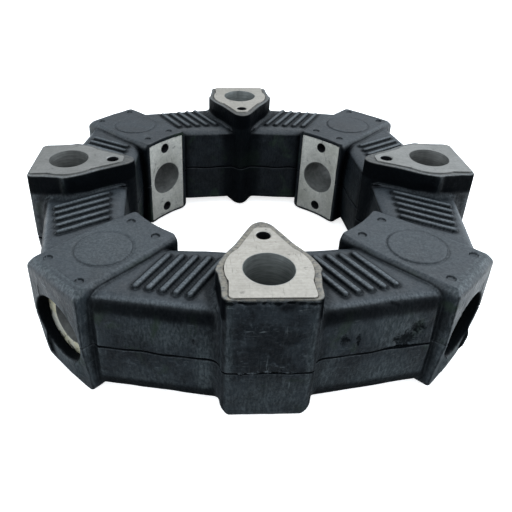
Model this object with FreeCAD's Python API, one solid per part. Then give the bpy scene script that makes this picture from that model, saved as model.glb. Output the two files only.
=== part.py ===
import FreeCAD
import Part
import math
import os

V = FreeCAD.Vector
os.makedirs("parts", exist_ok=True)

# Flexible ring coupling element: four axial inserts and four radial inserts
# carried by one rubber ring.  Z is the shaft axis, z = 0 is the plane the
# axial inserts stand on, and the axial inserts lie on the X and Y axes.

# ---- driving dimensions, mm ----
AXIAL_PCD = 165.0          # circle through the axial bolt bores
RING_RADIUS = 107.2        # outer radius over the radial blocks
HUB_RADIUS = 59.3          # concave seat of the radial inserts
HEIGHT = 57.0              # length of the axial inserts
BOLT_BORE = 17.5           # clearance bore for M16, axial and radial
PIN_BORE = 5.0             # locating pin hole in the axial inserts
PIN_CHAMFER = 0.5          # at both mouths of the pin hole
PIN_RADIUS = 62.7          # distance of the pin hole from the axis
MID_Z = 24.6               # parting plane of the rubber moulding
BLOCK_HALF_H = 24.3        # radial block, half height
BLOCK_HALF_W = 15.5        # radial block, half width
LIMB_HALF_H = 22.0         # rubber limb, half height without ribs

# axial insert outline, u outward from the axis, v across
INSERT_APEX = 57.8         # blunt inner end
APEX_HALF_W = 1.46         # half width of its flat
APEX_R = 2.0
FLANK_ANGLE = 27.7         # degrees between a flank and the u axis
BOSS_R = 14.9              # metal round the axial bore
INSERT_SIDE = 13.6         # half width beside the outer edge
INSERT_OUTER = 97.1
FLARE = 0.4
RIM = 0.4                  # rubber rim sits this far below the metal face

# rubber jacket round an axial insert
JACKET_APEX = 52.5
JACKET_APEX_HALF_W = 1.57
JACKET_APEX_R = 2.0
JACKET_BOSS_R = 16.8
JACKET_SIDE = 16.1
JACKET_TAPER = 0.5
JACKET_OUTER = 98.0
JACKET_TOE = 1.9           # the outer wall leans in this far at the foot
FOOT_R = 2.6

# radial insert
PLATE_HALF_W = 11.6
PLATE_HALF_H = 22.3
SEAT_U = 101.5             # bolt head seat
SEAT_HALF_W = 13.4
SEAT_HALF_H = 18.5
POCKET_D = 26.0
DOWEL_D = 4.6
DOWEL_STEP = 17.8
DOWEL_DEPTH = 12.0
FRAME_PROUD = 0.4          # rubber frame stands proud of the concave seat

# limb
RIB_COUNT = 5
RIB_PITCH = 4.68
RIB_W = 2.8
RIB_H = 1.25
RIB_ANGLE = 30.4           # degrees from the radius through the axial insert
RIB_INNER = V(61.2, 23.9, 0)
RIB_OUTER = V(82.3, 36.3, 0)
BEVEL_OUT = 3.2
BEVEL_IN = 2.9
BEVEL_H = 2.3
DRAFT = 0.9

# block edges and top details
EDGE_U = 2.4               # width of the sloping band along the outer top edge
FRAME_EDGE = 0.8
CHAMFER_W = 1.6
DIMPLE_D = 3.4
DIMPLE_DEPTH = 0.7
DIMPLES = ((64.1, 7.4), (64.1, -7.4), (100.6, 9.7), (100.6, -9.7))
DISC_U = 83.1              # slightly raised round field above the radial bore
DISC_R = 10.7
DISC_H = 0.3

# plan lines of a limb, measured in the frame of its axial insert
OUTER_20 = 87.3            # outer edge of the flat limb top, 20 mm off the insert plane
INNER_20 = 57.9
OUTER_SLOPE = 0.183
INNER_SLOPE = 0.08

SIDES = ("front", "right", "back", "left")
CORNERS = ("front_right", "back_right", "back_left", "front_left")


def save(shape, name):
    shape = shape.removeSplitter()
    shape.exportStep("parts/" + name + ".step")


def turned(shape, angle):
    copy = shape.copy()
    copy.rotate(V(0, 0, 0), V(0, 0, 1), angle)
    return copy


def polygon(points, z):
    wire = [V(p[0], p[1], z) for p in points]
    wire.append(wire[0])
    return Part.makePolygon(wire)


def prism(points, z0, z1):
    face = Part.Face(polygon(points, z0))
    return face.extrude(V(0, 0, z1 - z0))


def insert_outline(apex_u, apex_w, apex_r, boss_r, side, outer, flare, corner, z):
    """Plan face: blunt apex, straight flanks, bulge beside the bore, square outer end."""
    boss_u = AXIAL_PCD / 2.0
    flank = math.radians(FLANK_ANGLE)

    def at(u, v, radius, degrees):
        turn = math.radians(degrees)
        return V(u + radius * math.cos(turn), v + radius * math.sin(turn), z)

    # rounded corner of the apex
    centre_u = apex_u + apex_r
    a0 = at(centre_u, apex_w, apex_r, 180.0)
    a1 = at(centre_u, apex_w, apex_r, 135.0 + FLANK_ANGLE / 2.0)
    a2 = at(centre_u, apex_w, apex_r, 90.0 + FLANK_ANGLE)
    # straight flank as far as the bulge
    du = a2.x - boss_u
    along = du * math.cos(flank) + a2.y * math.sin(flank)
    excess = du * du + a2.y * a2.y - boss_r * boss_r
    run = -along - math.sqrt(along * along - excess)
    b1 = V(a2.x + run * math.cos(flank), a2.y + run * math.sin(flank), z)
    # bulge, then the side and the outer end
    angle_b = math.degrees(math.atan2(b1.y, b1.x - boss_u))
    angle_c = math.degrees(math.asin(side / boss_r))
    crown = at(boss_u, 0.0, boss_r, (angle_b + angle_c) / 2.0)
    c1 = at(boss_u, 0.0, boss_r, angle_c)
    d1 = V(outer, side + flare, z)

    def low(p):
        return V(p.x, -p.y, p.z)

    edges = [
        Part.makeLine(low(a0), a0),
        Part.Arc(a0, a1, a2).toShape(),
        Part.makeLine(a2, b1),
        Part.Arc(b1, crown, c1).toShape(),
        Part.makeLine(c1, d1),
        Part.makeLine(d1, low(d1)),
        Part.makeLine(low(d1), low(c1)),
        Part.Arc(low(c1), low(crown), low(b1)).toShape(),
        Part.makeLine(low(b1), low(a2)),
        Part.Arc(low(a2), low(a1), low(a0)).toShape(),
    ]
    wire = Part.Wire(edges)
    solid = Part.Face(wire).extrude(V(0, 0, 1))
    uprights = []
    for edge in solid.Edges:
        ends = [vertex.Point for vertex in edge.Vertexes]
        upright = abs(ends[0].z - ends[-1].z) > 0.5
        if upright and abs(ends[0].x - outer) < 0.01:
            uprights.append(edge)
    solid = solid.makeFillet(corner, uprights)
    for face in solid.Faces:
        centre = face.CenterOfMass
        if abs(centre.z - z) < 0.01 and abs(face.normalAt(0, 0).z) > 0.9:
            return face
    return None


def z_bore(diameter, u, z0, z1):
    return Part.makeCylinder(diameter / 2.0, z1 - z0, V(u, 0, z0))


def toe_cut(outer, lean, foot, z0):
    """Waste wedge that leans an outer wall in below the parting plane, with a rounded foot."""
    profile = [
        (outer + 6.0, MID_Z),
        (outer, MID_Z),
        (outer - lean, z0 + foot),
        (outer - lean - 0.3 * foot, z0 + 0.3 * foot),
        (outer - lean - 0.75 * foot, z0),
        (outer - lean - 0.75 * foot, z0 - 3.0),
        (outer + 6.0, z0 - 3.0),
    ]
    wire = Part.makePolygon([V(p[0], -30, p[1]) for p in profile + profile[:1]])
    return Part.Face(wire).extrude(V(0, 60, 0))


def rectangle_x(u, half_w, half_h):
    """Upright rectangle across the u axis, centred on the parting plane."""
    corners = [
        V(u, -half_w, MID_Z - half_h),
        V(u, half_w, MID_Z - half_h),
        V(u, half_w, MID_Z + half_h),
        V(u, -half_w, MID_Z + half_h),
    ]
    corners.append(corners[0])
    return Part.makePolygon(corners)


def limb_line(u_at_20, slope, v):
    return u_at_20 - slope * (v - 20.0)


def limb_section(grow_out, grow_in, z):
    """Plan outline of a limb at height z, from inside the jacket to the block face."""
    out20 = OUTER_20 + grow_out
    in20 = INNER_20 - grow_in
    v0 = 3.0
    reach = BLOCK_HALF_W * math.sqrt(2.0)
    v_out = (out20 + 20.0 * OUTER_SLOPE - reach) / (1.0 + OUTER_SLOPE)
    v_in = (in20 + 20.0 * INNER_SLOPE - reach) / (1.0 + INNER_SLOPE)
    pts = [
        (limb_line(in20, INNER_SLOPE, v0), v0),
        (limb_line(in20, INNER_SLOPE, v_in), v_in),
        (limb_line(out20, OUTER_SLOPE, v_out), v_out),
        (limb_line(out20, OUTER_SLOPE, v0), v0),
    ]
    return polygon(pts, z)


def rib(index, z0, z1):
    """One round-ended rib of a limb top, running outwards."""
    direction = V(math.cos(math.radians(RIB_ANGLE)), math.sin(math.radians(RIB_ANGLE)), 0)
    across = V(-direction.y, direction.x, 0)
    step = index - (RIB_COUNT - 1) / 2.0
    inner = RIB_INNER + across * (RIB_PITCH * step) + direction * (1.95 * step + RIB_W / 2.0)
    outer = RIB_OUTER + across * (RIB_PITCH * step) + direction * (1.3 * step - RIB_W / 2.0)
    half = RIB_W / 2.0
    corners = [inner - across * half, outer - across * half,
               outer + across * half, inner + across * half]
    bar = prism([(c.x, c.y) for c in corners], z0, z1)
    for end in (inner, outer):
        bar = bar.fuse(Part.makeCylinder(half, z1 - z0, V(end.x, end.y, z0)))
    return bar.removeSplitter()


# ---- axial insert: one extruded light-alloy block ----
insert_face = insert_outline(INSERT_APEX, APEX_HALF_W, APEX_R, BOSS_R, INSERT_SIDE,
                             INSERT_OUTER, FLARE, 1.6, 0.0)
insert_block = insert_face.extrude(V(0, 0, HEIGHT))
axial_insert = insert_block.cut(z_bore(BOLT_BORE, AXIAL_PCD / 2.0, -1, HEIGHT + 1))
axial_insert = axial_insert.cut(z_bore(PIN_BORE, PIN_RADIUS, -1, HEIGHT + 1))
pin_r = PIN_BORE / 2.0
mouth = Part.makeCone(pin_r + PIN_CHAMFER, pin_r, PIN_CHAMFER, V(PIN_RADIUS, 0, 0))
axial_insert = axial_insert.cut(mouth)
mouth = Part.makeCone(pin_r, pin_r + PIN_CHAMFER, PIN_CHAMFER, V(PIN_RADIUS, 0, HEIGHT - PIN_CHAMFER))
axial_insert = axial_insert.cut(mouth)
insert_toe = toe_cut(INSERT_OUTER, JACKET_TOE, FOOT_R, 0.0)
axial_insert = axial_insert.cut(insert_toe)

# ---- rubber jacket round the axial insert ----
jacket_face = insert_outline(JACKET_APEX, JACKET_APEX_HALF_W, JACKET_APEX_R, JACKET_BOSS_R,
                             JACKET_SIDE, JACKET_OUTER, -JACKET_TAPER, 2.6, RIM)
jacket_block = jacket_face.extrude(V(0, 0, HEIGHT - 2 * RIM))
# the outer wall leans in below the parting plane and ends in a rounded foot
jacket_toe = toe_cut(JACKET_OUTER, JACKET_TOE, FOOT_R, RIM)
jacket_outer = jacket_block.cut(jacket_toe)
cavity = insert_face.extrude(V(0, 0, HEIGHT)).cut(insert_toe)
axial_jacket = jacket_outer.cut(cavity)

# ---- radial insert: block with a concave hub seat and a flat bolt seat ----
slope_w = (SEAT_HALF_W - PLATE_HALF_W) / (SEAT_U - HUB_RADIUS)
slope_h = (SEAT_HALF_H - PLATE_HALF_H) / (SEAT_U - HUB_RADIUS)
start_u = HUB_RADIUS - 6.0
start_w = PLATE_HALF_W - 6.0 * slope_w
start_h = PLATE_HALF_H - 6.0 * slope_h
wedge = Part.makeLoft([rectangle_x(start_u, start_w, start_h),
                       rectangle_x(SEAT_U, SEAT_HALF_W, SEAT_HALF_H)], True, True)
hub_core = Part.makeCylinder(HUB_RADIUS, HEIGHT + 20, V(0, 0, -10))
radial_block = wedge.cut(hub_core)
radial_bore = Part.makeCylinder(BOLT_BORE / 2.0, 70, V(45, 0, MID_Z), V(1, 0, 0))
radial_insert = radial_block.cut(radial_bore)
for sign in (1, -1):
    dowel = Part.makeCylinder(DOWEL_D / 2.0, 10 + DOWEL_DEPTH,
                              V(HUB_RADIUS - 10, 0, MID_Z + sign * DOWEL_STEP), V(1, 0, 0))
    radial_insert = radial_insert.cut(dowel)

# ---- rubber jacket round the radial insert ----
z_low = MID_Z - BLOCK_HALF_H
z_high = MID_Z + BLOCK_HALF_H
frame_u = HUB_RADIUS - FRAME_PROUD
ring_profile = [
    (frame_u, z_low + FRAME_EDGE),
    (frame_u + FRAME_EDGE, z_low),
    (RING_RADIUS - 4.4, z_low),
    (RING_RADIUS - 2.6, z_low + 0.8),
    (RING_RADIUS - 1.6, z_low + 2.6),
    (RING_RADIUS, MID_Z),
    (RING_RADIUS, z_high - 2.6),
    (RING_RADIUS - 0.8, z_high - 0.9),
    (RING_RADIUS - EDGE_U, z_high),
    (frame_u + FRAME_EDGE, z_high),
    (frame_u, z_high - FRAME_EDGE),
]
ring_wire = Part.makePolygon([V(p[0], 0, p[1]) for p in ring_profile + ring_profile[:1]])
ring_wire.rotate(V(0, 0, 0), V(0, 0, 1), -25)
ring = Part.Face(ring_wire).revolve(V(0, 0, 0), V(0, 0, 1), 50)
limb_top = MID_Z + LIMB_HALF_H
limb_low = MID_Z - LIMB_HALF_H
side_profile = [
    (-BLOCK_HALF_W, limb_low),
    (-BLOCK_HALF_W + CHAMFER_W, z_low),
    (BLOCK_HALF_W - CHAMFER_W, z_low),
    (BLOCK_HALF_W, limb_low),
    (BLOCK_HALF_W, limb_top),
    (BLOCK_HALF_W - CHAMFER_W, z_high),
    (-BLOCK_HALF_W + CHAMFER_W, z_high),
    (-BLOCK_HALF_W, limb_top),
]
side_wire = Part.makePolygon([V(50, p[0], p[1]) for p in side_profile + side_profile[:1]])
side_bar = Part.Face(side_wire).extrude(V(65, 0, 0))
jacket_solid = ring.common(side_bar)
for u, v in DIMPLES:
    dimple = Part.makeCylinder(DIMPLE_D / 2.0, DIMPLE_DEPTH + 1.0, V(u, v, z_high - DIMPLE_DEPTH))
    jacket_solid = jacket_solid.cut(dimple)
disc = Part.makeCylinder(DISC_R, DISC_H + 1.0, V(DISC_U, 0, z_high - 1.0))
jacket_solid = jacket_solid.fuse(disc)
pocket = Part.makeCylinder(POCKET_D / 2.0, 20, V(SEAT_U, 0, MID_Z), V(1, 0, 0))
radial_jacket = jacket_solid.cut(wedge).cut(pocket)

# ---- rubber limbs: bevelled, drafted beams between a jacket and a block ----
levels = [
    (0.0, 0.0, limb_low),
    (BEVEL_OUT, BEVEL_IN, limb_low + BEVEL_H),
    (BEVEL_OUT + DRAFT, BEVEL_IN + DRAFT, MID_Z),
    (BEVEL_OUT, BEVEL_IN, limb_top - BEVEL_H),
    (0.0, 0.0, limb_top),
]
limb_beam = Part.makeLoft([limb_section(*level) for level in levels], True, True)

limb = limb_beam
for index in range(RIB_COUNT):
    limb = limb.fuse(rib(index, limb_top - 0.5, limb_top + RIB_H))
    limb = limb.fuse(rib(index, limb_low - RIB_H, limb_low + 0.5))
limb = limb.removeSplitter()
limb_plus = limb.cut(jacket_face.extrude(V(0, 0, HEIGHT)))
limb_minus = limb_plus.mirror(V(0, 0, 0), V(0, 1, 0))

# ---- place the four quarters ----
for quarter in range(4):
    axial_angle = -90.0 + 90.0 * quarter
    radial_angle = -45.0 + 90.0 * quarter
    side = SIDES[quarter]
    corner = CORNERS[quarter]
    last_corner = CORNERS[quarter - 1]
    save(turned(axial_insert, axial_angle), "axial_insert_" + side)
    save(turned(axial_jacket, axial_angle), "axial_jacket_" + side)
    save(turned(limb_plus, axial_angle), "limb_" + side + "_to_" + corner)
    save(turned(limb_minus, axial_angle), "limb_" + side + "_to_" + last_corner)
    save(turned(radial_insert, radial_angle), "radial_insert_" + corner)
    save(turned(radial_jacket, radial_angle), "radial_jacket_" + corner)
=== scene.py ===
import math
from types import SimpleNamespace

import bmesh
import bpy
import numpy as np
from mathutils import Matrix, Vector


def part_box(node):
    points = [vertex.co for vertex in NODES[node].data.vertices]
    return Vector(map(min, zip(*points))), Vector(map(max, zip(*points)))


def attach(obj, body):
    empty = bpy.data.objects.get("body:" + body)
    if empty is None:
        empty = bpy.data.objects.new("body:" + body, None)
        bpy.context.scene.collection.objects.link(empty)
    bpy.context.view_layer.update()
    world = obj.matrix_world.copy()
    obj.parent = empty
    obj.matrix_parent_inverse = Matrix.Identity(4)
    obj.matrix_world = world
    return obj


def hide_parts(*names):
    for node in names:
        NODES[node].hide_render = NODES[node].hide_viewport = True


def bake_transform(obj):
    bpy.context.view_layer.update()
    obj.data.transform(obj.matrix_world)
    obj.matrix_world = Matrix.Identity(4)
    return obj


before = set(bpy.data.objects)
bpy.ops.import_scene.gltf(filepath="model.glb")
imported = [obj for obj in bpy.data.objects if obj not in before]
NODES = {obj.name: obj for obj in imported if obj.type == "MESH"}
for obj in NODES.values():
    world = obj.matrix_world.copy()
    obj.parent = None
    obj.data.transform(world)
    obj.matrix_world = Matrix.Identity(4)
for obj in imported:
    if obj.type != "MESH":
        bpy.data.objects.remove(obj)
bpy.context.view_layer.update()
MM = 0.001

SIDES = ("front", "right", "back", "left")
CORNERS = ("front_right", "back_right", "back_left", "front_left")
SIDE_ANGLE = {side: -90.0 + 90.0 * n for n, side in enumerate(SIDES)}
ROOT = "axial_side"
HALF_TURN = math.sqrt(0.5)   # sine and cosine of the 45 degrees from a pillar to a block

# ------------------------------------------------------------------ sizes, mm
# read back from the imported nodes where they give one, so that the rubber fits the metal
pillar_low, pillar_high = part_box("axial_jacket_right")
insert_low, insert_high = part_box("axial_insert_right")
limb_low_corner, limb_high_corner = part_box("limb_right_to_back_right")
block_low, block_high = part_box("radial_jacket_back_right")

PILLAR_TOP = pillar_high.z / MM          # 56.6
PILLAR_FOOT = pillar_low.z / MM          # 0.4
JACKET_OUTER = pillar_high.x / MM        # 98.0
INSERT_OUTER = insert_high.x / MM        # 97.1
BLOCK_FOOT = block_low.z / MM            # 0.3
BLOCK_TOP = block_high.z / MM - 0.3      # 48.9, below the low round field
RIB_TOP = limb_high_corner.z / MM        # 47.85
MID = (limb_low_corner.z + limb_high_corner.z) / (2 * MM)   # 24.6, the parting plane
APEX_U = insert_low.x / MM               # 57.8, inner tip of the axial insert
LIMB_HALF = 22.0             # half height of a limb without its ribs
BORE_U = 82.5                # axial bolt bores
PIN_U = 62.7                 # pin holes of the axial inserts
SMALL_HOLE_UP = 17.8         # small holes above and below the radial bores
BORE_R = 8.95                # bolt bore and the rounding of its mouth
HOLE_R = 2.65
FLANK = math.radians(27.7)   # between a flank of the axial insert and its radius
TOE = 1.9                    # the outer wall of a pillar leans in this far at its foot
RING_R = 107.2               # over the radial blocks
HUB_R = 59.3                 # concave seat of the radial inserts
HALF_W = 15.5                # half width of a block
BLOCK_LEAN = 2.3             # its outer face leans in this far at the foot
BLOCK_CHAMFER = 2.3          # along its outer top edge
SEAT_U = 101.5               # seat of the radial bolt heads
SEAT_HALF = (13.4, 18.5)     # half width and height of the radial insert at that seat
PLATE_HALF = (11.6, 22.3)    # and at its hub end
POCKET_R = 13.0
FIELD_U = 83.1               # middle of the low round field on a block
FIELD_R = 11.1
FIELD_UP = 0.3
DIMPLES = ((64.1, 7.4), (100.6, 9.7))    # outward and across, on top of a block
DIMPLE_R = 1.9
DIMPLE_DEEP = 0.8

# plan outlines: tip, half width of its flat, rounding, bulge beside the bore, widest half
# width, half width at the outer end and how it grows, outer corners, softness of the joins
JACKET = dict(apex=52.5, apex_w=1.57, apex_r=2.0, boss_r=16.8, widest=17.8, side=16.8,
              taper=-0.6, corner=3.0, soft=2.2)
INSERT = dict(apex=APEX_U, apex_w=1.46, apex_r=2.0, boss_r=14.9, widest=15.0, side=13.6,
              taper=0.4, corner=1.8, soft=0.7)

# limb walls in plan: place at 20 mm across, and how much they turn in
WALL_AT = 20.0
OUTER_WALL, OUTER_SLOPE = 87.3, 0.183
INNER_WALL, INNER_SLOPE = 57.9, 0.08
BEVEL_DROP = 2.3             # height of the bevels
BEVEL_OUT = 3.2              # depth of the outer ones
BEVEL_IN = 2.9
DRAFT = 0.9                  # swell of the walls towards the parting plane

RIB_ANGLE = math.radians(30.4)           # between the ribs and the radius of the pillar
RIB_ALONG = np.array((math.cos(RIB_ANGLE), math.sin(RIB_ANGLE)))
RIB_ACROSS = np.array((-math.sin(RIB_ANGLE), math.cos(RIB_ANGLE)))
RIB_PITCH = 4.68
RIB_R = 1.4
RIB_START = np.array((61.2, 23.9))       # middle rib
RIB_END = np.array((82.3, 36.3))
RIB_STAGGER = (1.95, 1.3)    # each next rib starts and ends this much further along

GROOVE_W = 0.34              # parting line
GROOVE_DEEP = (0.85, 0.35)   # on the pillars and limbs, and on the blocks


# ------------------------------------------------------------------ shape of the rubber
def smin(a, b, k):
    h = np.maximum(k - np.abs(a - b), 0.0) / k
    return np.minimum(a, b) - h * h * k * 0.25


def smax(a, b, k):
    return -smin(-a, -b, k)


def ramp(x, low, high):
    t = np.clip((x - low) / (high - low), 0.0, 1.0)
    return t * t * (3 - 2 * t)


def slant(slope):
    """Length of a line of this slope for each unit along."""
    return math.hypot(1.0, slope)


def plan(u, v, outer, apex, apex_w, apex_r, boss_r, widest, side, taper, corner, soft):
    """Plan distance to an axial insert or its jacket: blunt apex, straight flanks, bulge
    beside the bore, square outer end."""
    x = np.abs(v)
    touch_u = apex + apex_r * (1.0 - math.sin(FLANK))
    touch_v = apex_w + apex_r * math.cos(FLANK)
    flank = (x - touch_v) * math.cos(FLANK) - (u - touch_u) * math.sin(FLANK)
    body = smax(flank, apex - u, 1.9 * apex_r)
    body = smax(smax(body, u - BORE_U, soft - 0.6), x - widest, 0.8)
    bulge = np.hypot(u - BORE_U, x) - boss_r
    tail = np.maximum(x - side - taper * (u - BORE_U) / (outer - BORE_U), BORE_U - u)
    body = smin(smin(body, bulge, soft), tail, soft)
    return smax(body, u - outer, corner)


def toe(z):
    """How far the outer wall of a pillar leans in at height z."""
    return TOE * np.clip((MID - z) / (MID - 3.0), 0.0, 1.1)


def limb_wall(depth):
    """Outward offset of a limb wall at a depth below the lower edge of its bevel: it
    swells towards the parting plane and has a shallow hollow under the bevel."""
    hollow = 0.22 * np.exp(-((depth - 2.2) / 1.6) ** 2)
    return BEVEL_OUT + DRAFT * ramp(depth, 1.5, 19.7) - hollow


def rib_distance(u, v):
    """Plan distance to the nearest of the five ribs."""
    best = np.inf
    for step in (-2.0, -1.0, 0.0, 1.0, 2.0):
        shift = RIB_ACROSS * RIB_PITCH * step
        ax, ay = RIB_START + shift + RIB_ALONG * (RIB_STAGGER[0] * step + RIB_R)
        bx, by = RIB_END + shift + RIB_ALONG * (RIB_STAGGER[1] * step - RIB_R)
        dx, dy = bx - ax, by - ay
        t = np.clip(((u - ax) * dx + (v - ay) * dy) / (dx * dx + dy * dy), 0.0, 1.0)
        best = np.minimum(best, np.hypot(u - ax - t * dx, v - ay - t * dy))
    return best - RIB_R


def limb(u, v, z):
    up = np.abs(z - MID)
    out = (u + OUTER_SLOPE * (v - WALL_AT) - OUTER_WALL) / slant(OUTER_SLOPE)
    inn = (INNER_WALL - INNER_SLOPE * (v - WALL_AT) - u) / slant(INNER_SLOPE)
    wall = limb_wall(LIMB_HALF - BEVEL_DROP - up)
    over = up - LIMB_HALF
    bevel = (out * BEVEL_DROP + over * BEVEL_OUT) / math.hypot(BEVEL_DROP, BEVEL_OUT)
    d = smax(out - wall - 0.35, bevel, 3.0)
    bevel = (inn * BEVEL_DROP + over * BEVEL_IN) / math.hypot(BEVEL_DROP, BEVEL_IN)
    inner = smax(inn - (wall - 0.3), bevel, 0.9)
    d = smax(d, inner, 1.0)
    d = smax(d, over, 1.6)
    rib = smax(rib_distance(u, v), up - (RIB_TOP - MID), 1.3)
    rib = smax(rib, (LIMB_HALF - 1.5) - up, 0.5)
    d = smin(d, rib, 0.35)
    # it runs on into the pillar and the block
    d = np.maximum(d, 2.0 - v)
    return np.maximum(d, (v - u) * HALF_TURN + 9.0)


def pillar(u, v, z):
    d = plan(u, v, JACKET_OUTER - toe(z), **JACKET)
    d = smax(d, z - PILLAR_TOP, 0.7)
    foot = PILLAR_FOOT + 3.4 * ramp(np.abs(v), 12.6, 17.0)
    return smax(d, foot - z, 3.0)


def block_axes(u, v):
    """Distance outward along the middle of the block, and distance from it."""
    return (u + v) * HALF_TURN, np.abs(v - u) * HALF_TURN


def flat_radius(b, t):
    """The outer face of a block is flatter than a circle about the axis."""
    return 0.45 * np.hypot(b, t) + 0.55 * b


def block_top(b, t):
    """Height of the top of a block, with its low round field and dimples."""
    from_centre = np.hypot(b - FIELD_U, t)
    top = BLOCK_TOP + FIELD_UP * ramp(FIELD_R - from_centre, 0.0, 0.7)
    top = top - 0.32 * np.exp(-(((from_centre - FIELD_R - 0.2) / 0.5) ** 2))
    for db, dt in DIMPLES:
        top = top - DIMPLE_DEEP * ramp(DIMPLE_R - np.hypot(b - db, t - dt), 0.0, 0.6)
    return top


def block(u, v, z):
    b, t = block_axes(u, v)
    r = np.hypot(b, t)
    lean = BLOCK_LEAN * np.clip((MID - z) / 21.7, 0.0, 1.0)
    beyond = flat_radius(b, t) - RING_R
    chamfer = (beyond + BLOCK_CHAMFER) * 0.73 + (z - BLOCK_TOP) * 0.68
    outer = smax(beyond + lean, chamfer, 0.8)
    half_w = HALF_W - 1.6 * ramp(-b, -76.0, -56.0)
    flare = (t - half_w) * 0.82 + (np.abs(z - MID) - LIMB_HALF) * 0.57
    sides = smax(t - half_w, flare, 0.9)
    d = smax(outer, sides, 1.2)
    d = smax(d, HUB_R - 0.4 - r, 2.0)
    d = smax(d, z - block_top(b, t), 0.5)
    return smax(d, BLOCK_FOOT - z, 2.4)


def cavities(u, v, z):
    """Space taken by the metal inserts and by the bolt head pockets."""
    insert = plan(u, v, INSERT_OUTER - toe(z), **INSERT) + 0.12
    b, t = block_axes(u, v)
    share = (b - HUB_R) / (SEAT_U - HUB_R)
    half_w, half_h = [plate + (seat - plate) * share
                      for plate, seat in zip(PLATE_HALF, SEAT_HALF)]
    core = np.maximum(np.maximum(t - half_w, np.abs(z - MID) - half_h), b - SEAT_U) + 0.1
    core = np.maximum(core, 45.0 - b)
    pocket = np.maximum(np.hypot(t, z - MID) - POCKET_R, SEAT_U - 0.3 - b)
    return np.minimum(insert, core), pocket


def waver(u, v):
    """Slow rise and fall of the parting line, mm."""
    return 0.22 * np.sin(u * 0.21 + v * 0.33) + 0.14 * np.sin(u * 0.57 - v * 0.41 + 1.0)


def rubber(p, with_inserts=False):
    """Signed distance, mm, to one eighth of the moulding and a little beyond it."""
    u, v, z = p[..., 0], p[..., 1], p[..., 2]
    arm = limb(u, v, z)
    post = pillar(u, v, z)
    hub = block(u, v, z)
    d = smin(arm, post, 1.8 + 1.6 * ramp(v, 13.0, 16.8) * ramp(z, 4.0, 9.0))
    # flash left where the two halves of the mould close round the pillar
    bead = np.hypot(np.abs(post - 0.5), (z - MID) - LIMB_HALF) - 0.62
    bead = np.maximum(bead, arm - 1.0)
    d = smin(d, bead, 0.6)
    # upright channel between the outer wall of the limb and the side of the block
    b, t = block_axes(u, v)
    channel = np.hypot(b - 103.1, t - HALF_W - 0.9) - 1.5
    arm_side = smax(d, -channel, 1.2)
    d = smin(arm_side, hub, 0.5)
    groove = np.exp(-(((z - MID - waver(u, v)) / GROOVE_W) ** 2))
    on_block = ramp(16.4 - t, 0.0, 1.2)
    d = d + groove * (GROOVE_DEEP[0] + (GROOVE_DEEP[1] - GROOVE_DEEP[0]) * on_block)
    metal, pocket = cavities(u, v, z)
    if not with_inserts:
        d = np.maximum(d, -metal)
    return smax(d, -pocket, 1.6)


def gradient(field, p, step=0.06):
    g = np.empty_like(p)
    for axis in range(3):
        shift = np.zeros(3)
        shift[axis] = step
        g[:, axis] = (field(p + shift) - field(p - shift)) / (2 * step)
    return g


def folded(p):
    """Brings points just outside the eighth back into it."""
    u, v, z = p[..., 0], np.abs(p[..., 1]), p[..., 2]
    return np.stack([np.maximum(u, v), np.minimum(u, v), z], -1)


def openness(p, n):
    """1 on open ground, falling towards 0 in narrow corners and grooves; it sets the painted shade
    of the rubber.
    """
    shade = np.zeros(len(p))
    for reach, share in ((0.5, 0.34), (1.1, 0.30), (2.2, 0.22), (4.5, 0.18), (9.0, 0.12)):
        free = rubber(folded(p + n * reach)) / reach
        shade += share * np.clip(1.0 - free, 0.0, 1.0)
    return np.clip(1.0 - shade, 0.0, 1.0)


def sharpness(p, n):
    """0 on flat ground, rising along outside edges."""
    wear_and_highlight = np.zeros(len(p))
    for depth in (0.6, 1.2, 2.0):
        inside = rubber(folded(p - n * depth), True)
        wear_and_highlight += np.clip(1.0 + inside / depth, 0.0, 1.0) / 3.0
    return np.clip(wear_and_highlight * 2.6 - 0.12, 0.0, 1.0)


# ------------------------------------------------------------------ meshing a field
def lines(*spans):
    """Grid lines from (start, end, pitch) spans that follow each other."""
    out = [spans[0][0]]
    for start, end, pitch in spans:
        count = max(1, int(round((end - start) / pitch)))
        out.extend(start + (end - start) * (n + 1) / count for n in range(count))
    return np.array(out)


CUBE = [(i, j, k) for i in (0, 1) for j in (0, 1) for k in (0, 1)]


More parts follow.
